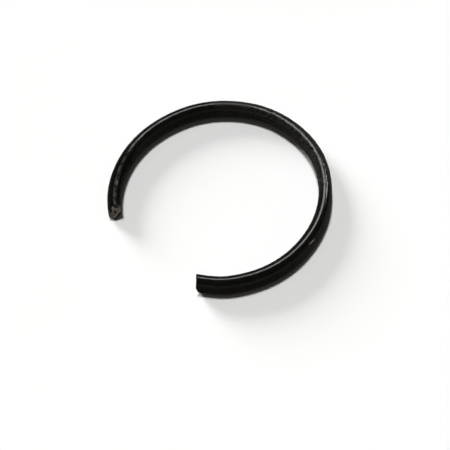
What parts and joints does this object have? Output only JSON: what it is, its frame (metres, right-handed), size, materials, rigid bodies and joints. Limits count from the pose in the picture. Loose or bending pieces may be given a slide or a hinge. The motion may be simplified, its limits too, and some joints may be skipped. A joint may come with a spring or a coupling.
{
  "type": "split insulating ring",
  "caption": "Open C-shaped ring of flattened steel strip in a glossy black plastic jacket, gripping a round fence post or rail.",
  "frame": {"origin": "on the axis of the ring, at half the height of the strip", "axes": "+Z along the axis of the ring and of the post it grips; -Y out through the middle of the gap; +X to the right end's side"},
  "size_m": [0.0544, 0.0499, 0.0052],
  "materials": {
    "core_steel": "sheared, rough, unpolished",
    "jacket_plastic": "glossy black with a fine speckle"
  },
  "bodies": {
    "root": {"spring_core": "core_steel", "insulating_jacket": "jacket_plastic"}
  },
  "joints": []
}
